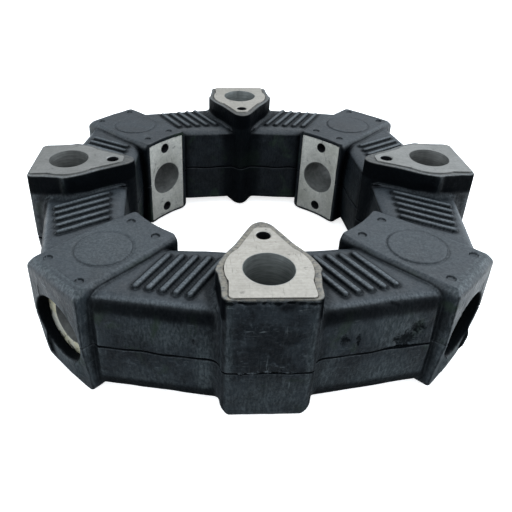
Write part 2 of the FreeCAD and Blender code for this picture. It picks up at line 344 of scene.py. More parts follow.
def surface_net(field, xs, ys, zs):
    """Quads of the zero surface of the field on a grid that needn't be even."""
    grid = np.stack(np.meshgrid(xs, ys, zs, indexing="ij"), -1)
    f = np.empty(grid.shape[:3], np.float64)
    for n in range(len(xs)):
        f[n] = field(grid[n])
    inside = f < 0
    shape = tuple(n - 1 for n in f.shape)
    corner = [inside[i:i + shape[0], j:j + shape[1], k:k + shape[2]] for i, j, k in CUBE]
    total = sum(c.astype(np.int8) for c in corner)
    active = (total > 0) & (total < 8)
    cells = np.argwhere(active)
    number = -np.ones(shape, np.int64)
    number[active] = np.arange(len(cells))
    point = np.zeros((len(cells), 3))
    weight = np.zeros(len(cells))
    for a in CUBE:
        for axis in range(3):
            if a[axis] == 1:
                continue
            b = list(a)
            b[axis] = 1
            ia = tuple((cells + a).T)
            ib = tuple((cells + b).T)
            fa, fb = f[ia], f[ib]
            cross = (fa < 0) != (fb < 0)
            t = np.where(cross, fa / np.where(cross, fa - fb, 1.0), 0.0)
            pos = grid[ia] + (grid[ib] - grid[ia]) * t[:, None]
            point[cross] += pos[cross]
            weight[cross] += 1
    point /= weight[:, None]
    quads = []
    for axis in range(3):
        lo = [slice(0, None)] * 3
        hi = [slice(0, None)] * 3
        lo[axis], hi[axis] = slice(0, -1), slice(1, None)
        first, second = inside[tuple(lo)], inside[tuple(hi)]
        edges = np.argwhere(first != second)
        flip = first[tuple(edges.T)]
        o1, o2 = [a for a in range(3) if a != axis]
        ok = (edges[:, o1] > 0) & (edges[:, o2] > 0)
        ok &= (edges[:, o1] < shape[o1]) & (edges[:, o2] < shape[o2])
        edges, flip = edges[ok], flip[ok]
        ring = []
        for d1, d2 in ((1, 1), (0, 1), (0, 0), (1, 0)):
            c = edges.copy()
            c[:, o1] -= d1
            c[:, o2] -= d2
            ring.append(number[tuple(c.T)])
        quad = np.stack(ring, 1)
        turn = flip if axis != 1 else ~flip
        quad[~turn] = quad[~turn][:, ::-1]
        quads.append(quad)
    return point, np.concatenate(quads)


def settle(field, p, rounds=4):
    """Pulls points onto the surface."""
    p = p.copy()
    for _ in range(rounds):
        g = gradient(field, p)
        size = np.maximum((g * g).sum(1), 0.2)
        move = (field(p) / size)[:, None] * g
        length = np.linalg.norm(move, axis=1)
        move *= np.minimum(1.0, 0.25 / np.maximum(length, 1e-9))[:, None]
        p -= move
    return p


def cut(mesh, co, no, keep_positive, cap):
    """Bisects a bmesh and drops one side."""
    geometry = mesh.verts[:] + mesh.edges[:] + mesh.faces[:]
    bmesh.ops.bisect_plane(mesh, geom=geometry, plane_co=co, plane_no=no, dist=1e-4,
                           clear_inner=keep_positive, clear_outer=not keep_positive)
    if cap:
        rim = [e for e in mesh.edges if e.is_boundary
               and all(abs((v.co - Vector(co)).dot(Vector(no))) < 1e-3 for v in e.verts)]
        bmesh.ops.triangle_fill(mesh, edges=rim, use_beauty=True, use_dissolve=False)


def arrays(mesh):
    mesh.verts.ensure_lookup_table()
    mesh.verts.index_update()
    co = np.array([v.co for v in mesh.verts])
    faces = [[v.index for v in f.verts] for f in mesh.faces]
    return co, faces


SPLIT_V = 18.3               # plane between a pillar and its limbs
SPLIT_T = 16.6               # plane between a block and its limbs
PITCH, QUICK_PITCH = 0.6, 0.9


def eighth():
    """Mesh of the rubber between the middle of a pillar and the middle of a block."""
    fine = PITCH
    xs = lines((40.2, 100.0, fine))
    ys = lines((-1.3, 78.0, fine))
    zs = lines((-0.3, 3.3, 0.5), (3.3, 23.2, fine * 1.6), (23.2, 26.0, 0.22),
               (26.0, 43.0, fine * 1.6), (43.0, 50.0, 0.4), (50.0, 55.2, 0.9), (55.2, 57.2, 0.33))
    point, quads = surface_net(rubber, xs, ys, zs)
    point = settle(rubber, point)
    mesh = bmesh.new()
    verts = [mesh.verts.new(p) for p in point]
    mesh.verts.ensure_lookup_table()
    for q in quads:
        mesh.faces.new([verts[i] for i in q])
    mesh.normal_update()
    cut(mesh, (0, 0, 0), (0, 1, 0), True, False)
    cut(mesh, (0, 0, 0), (-HALF_TURN, HALF_TURN, 0), False, False)
    return mesh


def portion(mesh, *cuts):
    """Points and faces of what is left of the mesh after some cuts."""
    part = mesh.copy()
    for co, no, keep in cuts:
        cut(part, co, no, keep, True)
    out = arrays(part)
    part.free()
    return out


BLOCK_PLANE = ((SPLIT_T * HALF_TURN, -SPLIT_T * HALF_TURN, 0), (-HALF_TURN, HALF_TURN, 0))
PILLAR_PLANE = ((0, SPLIT_V, 0), (0, 1, 0))


# ------------------------------------------------------------------ wear and unevenness
def wave_set(count, scale, seed):
    """Random plane waves about this long, mm: their directions and phases."""
    rng = np.random.default_rng(seed)
    k = rng.normal(size=(count, 3))
    length = np.linalg.norm(k, axis=1)
    k *= (2 * math.pi / scale * rng.uniform(0.6, 1.7, count) / length)[:, None]
    return k, rng.uniform(0, 2 * math.pi, count)


SLOW = wave_set(9, 26.0, 3)
MEDIUM = wave_set(12, 9.0, 5)
FINE = wave_set(16, 2.6, 8)


def waves(p, waves_of):
    k, phase = waves_of
    return np.sin(p @ k.T + phase).sum(1) / math.sqrt(len(phase))


def local(p, side):
    """Frame of the pillar on one side: u outward, v across, z up."""
    a = math.radians(SIDE_ANGLE[side])
    c, s = math.cos(a), math.sin(a)
    return np.stack([p[:, 0] * c + p[:, 1] * s, -p[:, 0] * s + p[:, 1] * c, p[:, 2]], 1)


def bump(q, centre, size, sharp=2.0):
    """1 at the centre of an ellipsoid patch, 0 well outside it."""
    d = (((q - np.array(centre)) / np.array(size)) ** 2).sum(1)
    return np.exp(-(d ** (sharp / 2)))


# centre and half sizes (outward, across, up), sharpness, depth, extra roughness, darkness
FRONT_DAMAGE = [
    # torn hollow low on the wall right of the front pillar, and the shallow scuffs beside it
    ((85.8, 48.9, 28.0), (3.8, 5.4, 3.4), 2, 1.0, 0.5, 1.0),
    ((85.0, 53.0, 32.2), (3.2, 3.2, 3.6), 2, 0.8, 0.4, 0.9),
    ((90.0, 26.0, 31.5), (3.0, 2.9, 2.6), 2, 0.3, 0.6, 0.85),
    ((88.9, 31.6, 31.0), (3.0, 0.9, 3.0), 2, 0.1, 0.4, 0.85),
    ((87.6, 43.5, 44.6), (3.0, 6.0, 2.2), 4, 0.35, 0.3, 0.4),
    # pit and scuffs left of it
    ((90.1, -25.3, 31.9), (2.5, 0.9, 1.2), 2, 0.7, 0.0, 1.0),
    ((91.5, -20.6, 20.0), (2.0, 2.2, 13.0), 4, 0.0, 0.12, 0.0),
]
# chips at the parting line of the front pillar and along its rim
FRONT_DAMAGE += [((JACKET_OUTER, v, z), (2.0, w, 0.8), 2, 0.55, 0.0, 0.8)
                 for v, z, w in ((-0.3, 25.3, 1.2), (3.7, 26.0, 1.0), (-5.6, 24.2, 1.5),
                                 (7.5, 24.6, 1.8), (-9.5, 24.0, 1.3))]
FRONT_DAMAGE += [((JACKET_OUTER, v, z), (1.6, 1.7 * w, 0.8), 2, 0.35, 0.1, 1.0)
                 for v, z, w in ((-14.2, 54.9, 1.8), (-10.5, 55.3, 1.1), (-7.6, 55.0, 2.0),
                                 (-3.2, 55.2, 1.2), (1.0, 54.9, 2.2), (5.5, 55.2, 1.3),
                                 (9.0, 55.0, 1.4), (13.4, 54.6, 1.7))]


def damage(p):
    """Height, mm, and darkness of the cuts, chips and pits, for points of the whole ring."""
    q = local(p, "front")
    rough = 0.5 + 0.5 * waves(p, FINE)
    h = np.zeros(len(p))
    dark = np.zeros(len(p))
    for centre, size, sharp, depth, grain, tone in FRONT_DAMAGE:
        patch = bump(q, centre, size, sharp)
        h -= patch * (depth + grain * rough)
        dark = np.maximum(dark, patch * tone * (0.7 + 0.3 * rough))
    return h, dark


# centre and half sizes (outward, across, up) of dusty, scuffed patches, and how dusty
DUSTY = (
    # limb walls where they meet the front pillar, its face low down and its upright edges
    ((91.5, -21.5, 19.0), (4.0, 3.6, 17.0), 1.0),
    ((91.5, 21.5, 14.0), (4.0, 5.0, 13.0), 0.7),
    ((97.0, 0.0, 11.0), (4.0, 15.0, 10.5), 0.6),
    ((97.5, -13.5, 30.0), (3.0, 1.4, 26.0), 0.6),
    ((97.5, 13.5, 30.0), (3.0, 1.4, 26.0), 0.6),
    # limb walls further out
    ((86.0, 42.0, 11.0), (6.0, 17.0, 10.0), 0.8),
    ((86.5, 50.0, 35.0), (5.0, 5.0, 5.0), 0.8),
    ((88.0, -42.0, 9.0), (6.0, 14.0, 8.0), 0.5),
    ((86.5, 30.0, 35.0), (4.0, 9.0, 3.5), 0.5),
    ((88.5, -36.0, 34.0), (5.0, 16.0, 6.0), 0.6),
    ((86.5, 46.0, 33.0), (5.0, 10.0, 9.0), 0.9),
    # tops of the two near blocks, upright edge of the left one, outer faces of both
    ((57.0, -57.0, 49.0), (19.0, 19.0, 2.0), 0.40),
    ((57.0, 57.0, 49.0), (19.0, 19.0, 2.0), 0.22),
    ((85.3, -60.3, 22.0), (2.4, 2.4, 26.0), 0.8),
    ((76.0, -76.0, 14.0), (14.0, 14.0, 16.0), 0.9),
    ((76.0, 76.0, 20.0), (14.0, 14.0, 24.0), 1.0),
)


def dusted_and_highlit(p):
    """How dusty the surface is on the near side, with painted highlight strips along the outer top
    edges of the two near blocks, for points of the whole ring.
    """
    q = local(p, "front")
    most = np.zeros(len(p))
    for centre, size, amount in DUSTY:
        most = np.maximum(most, amount * bump(q, centre, size, 3.0))
    # painted highlight strips along the rubbed outer top edges of the two near blocks
    out = flat_radius(*block_axes(q[:, 0], np.abs(q[:, 1])))
    for centre, width in ((105.2, 1.0), (103.0, 0.4)):
        rubbed_and_lit = np.exp(-(((out - centre) / width) ** 2)) * ramp(q[:, 2], 46.0, 47.5)
        most = np.maximum(most, rubbed_and_lit * ramp(q[:, 0], 40.0, 50.0))
    return most


def relief(p):
    """Height of the surface above its moulded shape, mm, for points of the whole ring."""
    uneven = 0.05 * waves(p, SLOW) + 0.028 * waves(p, MEDIUM) - 0.10
    h = np.minimum(uneven, 0.0) + damage(p)[0]
    # second lip of flash along the outer top edge of the front left block
    q = local(p, "left")
    b = (q[:, 0] + q[:, 1]) * HALF_TURN
    t = (q[:, 1] - q[:, 0]) * HALF_TURN
    r = np.hypot(b, t)
    lip = np.exp(-(((r - 103.0) / 0.6) ** 2)) - np.exp(-(((r - 104.4) / 0.5) ** 2))
    lip *= ramp(t, -4.0, 2.0) * ramp(-t, -14.8, -13.0)
    h += lip * np.exp(-(((p[:, 2] - BLOCK_TOP) / 1.2) ** 2)) * 0.42
    return h


def relief_normals(p, n):
    """Normals n of the moulded shape, tilted by the relief."""
    step = 0.08
    g = np.empty_like(p)
    for axis in range(3):
        shift = np.zeros(3)
        shift[axis] = step
        g[:, axis] = (relief(p + shift) - relief(p - shift)) / (2 * step)
    g -= (g * n).sum(1)[:, None] * n
    out = n - g
    return out / np.linalg.norm(out, axis=1)[:, None]


# ------------------------------------------------------------------ placing pieces
def turn_points(p, degrees):
    """Points turned about the shaft axis."""
    a = math.radians(degrees)
    c, s = math.cos(a), math.sin(a)
    return np.stack([p[:, 0] * c - p[:, 1] * s, p[:, 0] * s + p[:, 1] * c, p[:, 2]], 1)


def prepare(part):
    """Points, moulded normals, faces and looks of a part, in the frame of its own eighth: how
    open, which sets the painted shade, and how worn, with a painted highlight on edges and bevels."""
    co, faces = part
    n = gradient(rubber, co)
    n /= np.maximum(np.linalg.norm(n, axis=1), 1e-9)[:, None]
    u, v, z = co.T
    past_pillar = ramp(v, 17.2, 18.6)
    outer_wall = ramp(u, 76.0, 80.0)
    # painted shade: a dark band along the limb walls just below their bevels
    level = np.abs(z - MID)
    band = ramp(level, 12.5, 17.5) * ramp(-level, -21.0, -19.0)
    band *= past_pillar * ramp(u - v, 21.0, 27.0) * outer_wall
    bright = openness(co, n) * (1.0 - 0.45 * band)
    # painted shade on the sides of the pillars above the limbs, and on their inner columns
    flank = ramp(-n[:, 0], -0.97, -0.80) * ramp(-n[:, 2], -0.5, -0.2)
    flank *= ramp(-v, -18.6, -17.0) * ramp(z, 47.0, 49.0)
    column = ramp(-v, -15.0, -7.0) * ramp(-u, -74.0, -66.0) * ramp(-n[:, 2], -0.6, -0.3)
    bright *= 1.0 - 0.62 * np.maximum(flank, 0.55 * column)
    # painted shade on the pocket walls, and a dark line where the rim meets the metal
    metal, pocket = cavities(u, v, z)
    bright *= 1.0 - 0.65 * ramp(-pocket, -0.9, -0.2)
    bright *= 1.0 - 0.40 * ramp(z, 55.6, 56.2) * np.exp(-((metal / 0.35) ** 2))
    # edges rub and take a painted highlight, but not on the flanks or on the column, which are in
    # painted shade
    wear_and_highlight = sharpness(co, n) * (0.25 + 0.75 * ramp(u, 60.0, 68.0)) * (1.0 - 0.8 * flank)
    # painted highlight on the outer bevels of the limbs, where they face up and out
    bevel = ramp(n[:, 2], 0.5, 0.65) * ramp(-n[:, 2], -0.97, -0.9) * ramp(n[:, 0], 0.3, 0.5)
    wear_and_highlight = np.maximum(wear_and_highlight, 0.38 * bevel * outer_wall * past_pillar)
    return co, n, faces, np.stack([bright, wear_and_highlight], 1)


def mirrored(part, across):
    """across is "pillar" for the plane of the pillar and "block" for that of the block."""
    co, n, faces, looks = part
    co, n = co.copy(), n.copy()
    if across == "pillar":
        co[:, 1] *= -1
        n[:, 1] *= -1
    else:
        co[:, [0, 1]] = co[:, [1, 0]]
        n[:, [0, 1]] = n[:, [1, 0]]
    return co, n, [f[::-1] for f in faces], looks


def joined(a, b):
    """Two halves of a piece, welded along their shared plane."""
    co = np.concatenate([a[0], b[0]])
    n = np.concatenate([a[1], b[1]])
    faces = a[2] + [[i + len(a[0]) for i in f] for f in b[2]]
    # points that are the same to half a thousandth of a millimetre become one
    key = np.round(co * 2000).astype(np.int64)
    _, first, inverse = np.unique(key, axis=0, return_index=True, return_inverse=True)
    inverse = inverse.ravel()
    faces = [[int(inverse[i]) for i in f] for f in faces]
    faces = [f for f in faces if len(set(f)) == len(f)]
    return co[first], n[first], faces, np.concatenate([a[3], b[3]])[first]


def make_piece(name, part, degrees):
    """A rubber piece at its place in the ring, with its relief and the maps for its looks."""
    co, n, faces, looks = part
    p = turn_points(co, degrees)
    n = turn_points(n, degrees)
    height = relief(p)
    torn = np.clip(damage(p)[1], 0.0, 1.0)
    dust_and_edge_highlight = dusted_and_highlit(p)
    normal = relief_normals(p, n)
    p = p + n * height[:, None]
    mesh = bpy.data.meshes.new(name)
    mesh.from_pydata((p * MM).tolist(), [], faces)
    mesh.shade_smooth()
    for label, values in (("open", looks[:, 0]), ("edge", looks[:, 1]), ("torn", torn),
                          ("dust_and_edge_highlight", dust_and_edge_highlight)):
        layer = mesh.attributes.new(label, "FLOAT", "POINT")
        layer.data.foreach_set("value", values.astype(np.float32))
    mesh.validate()
    if len(mesh.vertices) == len(normal):
        mesh.normals_split_custom_set_from_vertices(normal.tolist())
    mesh.materials.append(RUBBER)
    obj = bpy.data.objects.new(name, mesh)
    bpy.context.scene.collection.objects.link(obj)
    return obj


# ------------------------------------------------------------------ materials
def material(name):
    mat = bpy.data.materials.new(name)
    mat.use_nodes = True
    tree = mat.node_tree
    tree.nodes.clear()
    out = tree.nodes.new("ShaderNodeOutputMaterial")
    shader = tree.nodes.new("ShaderNodeBsdfPrincipled")
    tree.links.new(shader.outputs[0], out.inputs[0])
    return mat, tree, shader


def node(tree, kind, **values):
    made = tree.nodes.new(kind)
    for key, value in values.items():
        setattr(made, key, value)
    return made


def object_place(tree):
    return node(tree, "ShaderNodeTexCoord").outputs["Object"]


def parts_of(tree, vector):
    """x, y and z of a vector."""
    made = node(tree, "ShaderNodeSeparateXYZ")
    tree.links.new(vector, made.inputs[0])
    return made.outputs


def noise(tree, vector, scale, detail=4.0, rough=0.55, distortion=0.0):
    made = node(tree, "ShaderNodeTexNoise")
    made.inputs["Scale"].default_value = scale
    made.inputs["Detail"].default_value = detail
    made.inputs["Roughness"].default_value = rough
    made.inputs["Distortion"].default_value = distortion
    tree.links.new(vector, made.inputs["Vector"])
    return made.outputs["Fac"]


def stretch(tree, vector, scale, turn=(0.0, 0.0, 0.0)):
    made = node(tree, "ShaderNodeMapping")
    made.inputs["Rotation"].default_value = turn
    made.inputs["Scale"].default_value = scale
    tree.links.new(vector, made.inputs["Vector"])
    return made.outputs["Vector"]


def curve(tree, value, points):
    """The value read off a line through (value, result) points, flat beyond its ends."""
    made = node(tree, "ShaderNodeValToRGB")
    stops = made.color_ramp.elements
    while len(stops) < len(points):
        stops.new(0.5)
    for stop, (at, level) in zip(stops, points):
        stop.position = at
        stop.color = (level, level, level, 1.0)
    tree.links.new(value, made.inputs["Fac"])
    return made.outputs["Color"]


def mix(tree, factor, a, b, mode="MIX"):
    """Colour a where the factor is 0, b where it is 1."""
    made = node(tree, "ShaderNodeMix", data_type="RGBA", blend_type=mode)
    for key, value in ((0, factor), (6, a), (7, b)):
        if isinstance(value, bpy.types.NodeSocket):
            tree.links.new(value, made.inputs[key])
        elif key == 0:
            made.inputs[key].default_value = value
        else:
            made.inputs[key].default_value = (*value, 1.0)
    return made.outputs[2]


def maths(tree, operation, a, b=0.0, c=0.0):
    made = node(tree, "ShaderNodeMath", operation=operation)
    for key, value in enumerate((a, b, c)):
        if isinstance(value, bpy.types.NodeSocket):
            tree.links.new(value, made.inputs[key])
        else:
            made.inputs[key].default_value = value
    return made.outputs[0]


def times(tree, a, b):
    return maths(tree, "MULTIPLY", a, b)


def distance(tree, a, b):
    return maths(tree, "SQRT", maths(tree, "ADD", times(tree, a, a), times(tree, b, b)))


def bumped(tree, shader, height, depth, strength):
    made = node(tree, "ShaderNodeBump")
    made.inputs["Strength"].default_value = strength
    made.inputs["Distance"].default_value = depth
    tree.links.new(height, made.inputs["Height"])
    tree.links.new(made.outputs[0], shader.inputs["Normal"])


def grey(level):
    return (level, level, level)


def attribute(tree, label):
    """A map that make_piece stored with the points."""
    return node(tree, "ShaderNodeAttribute", attribute_name=label).outputs["Fac"]


# ---- rubber, with linear colours
RUBBER_DARK = (0.0018, 0.0030, 0.0046)
RUBBER_PALE = (0.0062, 0.0090, 0.0118)
PATCH_GREY = (0.0210, 0.0275, 0.0330)
DUST_GREY = (0.0350, 0.0425, 0.0500)
BLOOM_GREY = (0.048, 0.058, 0.065)
SCUFF_GREY = (0.13, 0.15, 0.155)
NICK_GREY = (0.14, 0.16, 0.165)
# edge wear, painted lighter on edges that face up
EDGE_WEAR_SHADED = (0.110, 0.126, 0.136)
EDGE_WEAR_LIT = (0.165, 0.190, 0.205)
# dust colours, which also paint the highlight strips on the near block edges
DUST_AND_HIGHLIGHT_DEEP = (0.0330, 0.0430, 0.0460)
DUST_AND_HIGHLIGHT_PALE = (0.095, 0.112, 0.120)
STAIN_GREEN = (0.0150, 0.0260, 0.0170)
RIM_TAN = (0.250, 0.220, 0.175)
# painted shade in corners, grooves and pockets, and the colour of the cuts
SHADE_AND_TEAR_BLACK = (0.0020, 0.0025, 0.0032)


def rubber_maps(tree):
    """Places, noises and masks that the layers of the rubber share."""
    m = SimpleNamespace(place=object_place(tree))
    m.x, m.y, m.z = parts_of(tree, m.place)
    m.up = parts_of(tree, node(tree, "ShaderNodeNewGeometry").outputs["Normal"])["Z"]
    m.blotch = noise(tree, m.place, 34.0, 5.0, 0.6, 0.4)
    m.mottle = noise(tree, m.place, 150.0, 5.0, 0.65, 0.6)
    m.speck = noise(tree, m.place, 620.0, 3.0, 0.7)
    m.grit = noise(tree, stretch(tree, m.place, (1200.0, 1200.0, 420.0)), 1.0, 3.0, 0.65)
    # fewer grey marks on the walls near the axis, which stay darker: painted shade inside the ring
    from_axis = times(tree, distance(tree, m.x, m.y), 10.0)
    m.plain = curve(tree, from_axis, ((0.61, 0.15), (0.69, 1.0)))
    patch = noise(tree, m.place, 58.0, 6.0, 0.72, 1.2)
    m.patch = times(tree, curve(tree, patch, ((0.44, 0.0), (0.60, 1.0))), m.plain)
    # dust lies on what faces up, and is thinner on the far side
    dust = times(tree, curve(tree, m.up, ((0.35, 0.0), (0.82, 1.0))),
                 curve(tree, m.blotch, ((0.25, 0.35), (0.75, 1.0))))
    far = maths(tree, "MULTIPLY_ADD", m.y, 5.0, 0.5)
    m.dust = times(tree, dust, curve(tree, far, ((0.55, 1.0), (0.80, 0.55))))
    return m


def rubber_ground(tree, m):
    """Mottled black with greyer patches, dust, and a grey bloom on the walls."""
    base = mix(tree, curve(tree, m.mottle, ((0.30, 0.0), (0.70, 1.0))),
               RUBBER_DARK, RUBBER_PALE)
    base = mix(tree, times(tree, m.patch, 0.7), base, PATCH_GREY)
    base = mix(tree, m.dust, base, DUST_GREY)
    bloom = times(tree, curve(tree, m.speck, ((0.52, 0.0), (0.66, 1.0))),
                  curve(tree, m.mottle, ((0.42, 0.05), (0.64, 0.85))))
    return mix(tree, times(tree, bloom, m.plain), base, BLOOM_GREY)


def rubber_scratches(tree, m, base):
    """Upright scuffs in patches, and fine slanting nicks that are fainter on top."""
    streak = noise(tree, stretch(tree, m.place, (900.0, 900.0, 60.0)), 1.0, 3.0, 0.7)
    scuff = times(tree, curve(tree, streak, ((0.60, 0.0), (0.72, 0.8))),
                  curve(tree, m.blotch, ((0.50, 0.0), (0.72, 1.0))))
    base = mix(tree, times(tree, scuff, m.plain), base, SCUFF_GREY)
    across = stretch(tree, m.place, (120.0, 160.0, 1300.0), (0.5, 0.3, 0.2))
    nick = times(tree, curve(tree, noise(tree, across, 1.0, 3.0, 0.7), ((0.64, 0.0), (0.72, 0.9))),
                 curve(tree, m.mottle, ((0.48, 0.0), (0.60, 1.0))))
    nick = times(tree, nick, curve(tree, m.up, ((0.40, 1.0), (0.90, 0.25))))
    return mix(tree, times(tree, nick, m.plain), base, NICK_GREY)


def rubber_wear(tree, m, base):
    """Edges rubbed grey with a painted highlight that is lighter where they face up, dusty places
    with painted highlight strips on the near block edges, green-brown stains on the walls, and the
    dusty rim round the machined faces."""
    # edge wear with a painted highlight, lighter where the edge faces up
    wear_and_highlight = times(tree, attribute(tree, "edge"), curve(tree, m.grit, ((0.40, 0.12), (0.66, 0.70))))
    rubbed_and_lit = mix(tree, curve(tree, m.up, ((0.30, 0.0), (0.60, 1.0))), EDGE_WEAR_SHADED, EDGE_WEAR_LIT)
    base = mix(tree, times(tree, wear_and_highlight, m.plain), base, rubbed_and_lit)
    # dust, with the painted highlight strips along the near block edges
    dust_and_edge_highlight = attribute(tree, "dust_and_edge_highlight")
    base = mix(tree, times(tree, dust_and_edge_highlight, 0.60), base, DUST_AND_HIGHLIGHT_DEEP)
    pale = times(tree, dust_and_edge_highlight, curve(tree, m.grit, ((0.44, 0.0), (0.70, 0.75))))
    base = mix(tree, pale, base, DUST_AND_HIGHLIGHT_PALE)
    stain = noise(tree, m.place, 52.0, 4.0, 0.6, 0.8)
    stain = times(tree, curve(tree, stain, ((0.56, 0.0), (0.66, 0.8))),
                  curve(tree, m.up, ((0.30, 1.0), (0.70, 0.0))))
    base = mix(tree, stain, base, STAIN_GREEN)
    rim = times(tree, curve(tree, times(tree, m.z, 10.0), ((0.560, 0.0), (0.5645, 1.0))),
                curve(tree, m.speck, ((0.34, 0.25), (0.58, 1.0))))
    nearness = curve(tree, times(tree, m.y, -10.0), ((0.45, 0.30), (0.60, 1.0)))
    return mix(tree, times(tree, rim, nearness), base, RIM_TAN)


def rubber_shade_and_tears(tree, m):
    """0 in corners and grooves, which take painted shade, and in ragged cuts, which are darkened;
    1 on open ground.
    """
    clear = curve(tree, attribute(tree, "open"), ((0.30, 0.02), (0.68, 0.28), (0.92, 1.0)))
    ragged = noise(tree, m.place, 380.0, 6.0, 0.8, 1.5)
    torn = maths(tree, "MULTIPLY_ADD", ragged, 2.2, attribute(tree, "torn"))
    torn = curve(tree, times(tree, torn, 0.45), ((0.66, 1.0), (0.76, 0.14)))
    return times(tree, clear, torn)


def rubber_material():
    mat, tree, shader = material("moulded_rubber")
    m = rubber_maps(tree)
    base = rubber_ground(tree, m)
    base = rubber_scratches(tree, m, base)
    base = rubber_wear(tree, m, base)
    clear = rubber_shade_and_tears(tree, m)
    # painted shade: black in corners, grooves, pockets and on the pillar sides, and darkened cuts
    base = mix(tree, clear, SHADE_AND_TEAR_BLACK, base)
    tree.links.new(base, shader.inputs["Base Color"])

    gloss = mix(tree, m.dust, grey(0.34), grey(0.50))
    gloss = mix(tree, times(tree, m.patch, 0.5), gloss, grey(0.62))
    gloss = mix(tree, curve(tree, m.mottle, ((0.35, 0.0), (0.70, 0.50))), gloss, grey(0.66))
    tree.links.new(gloss, shader.inputs["Roughness"])
    sheen = times(tree, curve(tree, m.up, ((0.10, 0.30), (0.55, 0.50))),
                  curve(tree, m.grit, ((0.34, 0.60), (0.66, 1.15))))
    # the reflection fades in the painted shade as well
    tree.links.new(times(tree, clear, sheen), shader.inputs["Specular IOR Level"])
    grain = maths(tree, "MULTIPLY_ADD", m.mottle, 1.8, m.speck)
    bumped(tree, shader, grain, depth=0.00022, strength=1.0)
    return mat


# ---- metal
SCRATCH_DARK = (0.12, 0.12, 0.11)
PIT_DARK = (0.09, 0.085, 0.08)
SEAT_STAIN = (0.58, 0.53, 0.33)
SEAT_SPOT = (0.03, 0.03, 0.025)
# painted shade in the small holes
HOLE_SHADE = (0.012, 0.012, 0.014)


def metal_face(tree, place, grain, blotch, spots, low, high, stain):
    """Cutter marks from low to high, stain in soft patches, dark scratches and pits."""
    fine = noise(tree, place, 900.0, 3.0, 0.65)
    tone = maths(tree, "MULTIPLY_ADD", grain, 0.45, times(tree, fine, 0.55))
    base = mix(tree, curve(tree, tone, ((0.34, 0.0), (0.66, 1.0))), low, high)
    soft = curve(tree, blotch, ((0.45, 0.0), (0.75, 1.0)))
    base = mix(tree, times(tree, soft, 0.55), base, stain)
    scratch = stretch(tree, place, (1500.0, 90.0, 120.0), (0.2, 0.4, 0.6))
    scratch = curve(tree, noise(tree, scratch, 1.0, 2.0, 0.6), ((0.66, 0.0), (0.72, 1.0)))
    base = mix(tree, times(tree, scratch, 0.5), base, SCRATCH_DARK)
    pit = curve(tree, spots, ((0.63, 0.0), (0.72, 1.0)))
    return mix(tree, times(tree, pit, 0.6), base, PIT_DARK)


def bolt_seat(tree, base, from_axis, blotch, spots):
    """The stained, spotted seat of a radial bolt head, at the outer end of its insert."""
    seat = curve(tree, from_axis, ((0.095, 0.0), (0.098, 1.0)))
    rust = times(tree, seat, curve(tree, blotch, ((0.40, 0.15), (0.58, 0.9))))
    base = mix(tree, rust, base, SEAT_STAIN)
    spot = times(tree, seat, curve(tree, spots, ((0.52, 0.0), (0.60, 0.9))))
    return mix(tree, spot, base, SEAT_SPOT)


def hole_distances(tree, x, y, z, radial):
    """Distance from the axis of the bolt bore, and from that of the small hole or holes."""
    if radial:
        across = times(tree, maths(tree, "SUBTRACT", x, y), HALF_TURN)
        up = maths(tree, "ABSOLUTE", maths(tree, "SUBTRACT", z, MID * MM))
        return (distance(tree, across, up),
                distance(tree, across, maths(tree, "SUBTRACT", up, SMALL_HOLE_UP * MM)))
    out = maths(tree, "MAXIMUM", x, y)
    across = maths(tree, "MINIMUM", x, y)
    return (distance(tree, across, maths(tree, "SUBTRACT", out, BORE_U * MM)),
            distance(tree, across, maths(tree, "SUBTRACT", out, PIN_U * MM)))


def metal_material(name, low, high, stain, walls, grain_along, rough, radial):
    """The bore colour is darker than the faces, as painted shade inside the bores; grain_along is
    how the cutter marks run.
    """
    mat, tree, shader = material(name)
    place = object_place(tree)
    blotch = noise(tree, place, 70.0, 5.0, 0.6, 0.3)
    spots = noise(tree, place, 260.0, 4.0, 0.6, 0.2)
    grain = noise(tree, stretch(tree, place, grain_along), 1.0, 3.0, 0.6)
    base = metal_face(tree, place, grain, blotch, spots, low, high, stain)
    x, y, z = [maths(tree, "ABSOLUTE", part) for part in parts_of(tree, place)]
    if radial:
        base = bolt_seat(tree, base, distance(tree, x, y), blotch, spots)
    bore, hole = hole_distances(tree, x, y, z, radial)
    grooves = (420.0, 420.0, 420.0) if radial else (160.0, 160.0, 1400.0)
    turned = noise(tree, stretch(tree, place, grooves), 1.0, 3.0, 0.6)
    turned = maths(tree, "MULTIPLY_ADD", turned, 0.5, times(tree, blotch, 0.5))
    # painted shade inside the bores, mottled by the turning marks
    inside = mix(tree, curve(tree, turned, ((0.38, 0.0), (0.62, 1.0))),
                 [0.66 * c for c in walls], [1.22 * c for c in walls])
    base = mix(tree, maths(tree, "LESS_THAN", bore, BORE_R * MM), base, inside)
    # painted shade: the small holes are nearly black
    base = mix(tree, maths(tree, "LESS_THAN", hole, HOLE_R * MM), base, HOLE_SHADE)
    tree.links.new(base, shader.inputs["Base Color"])
    shader.inputs["Metallic"].default_value = 0.4 if radial else 0.8
    tree.links.new(mix(tree, blotch, grey(rough), grey(rough + 0.2)), shader.inputs["Roughness"])
    marks = maths(tree, "ADD", grain, times(tree, spots, 0.4))
    bumped(tree, shader, marks, depth=0.00005, strength=0.5)
    return mat


RUBBER = rubber_material()
BRIGHT = metal_material(
    "machined_alloy", low=(0.335, 0.315, 0.280), high=(0.460, 0.432, 0.390),
    stain=(0.27, 0.25, 0.22), walls=(0.24, 0.25, 0.24),
    grain_along=(60.0, 1500.0, 60.0), rough=0.40, radial=False)
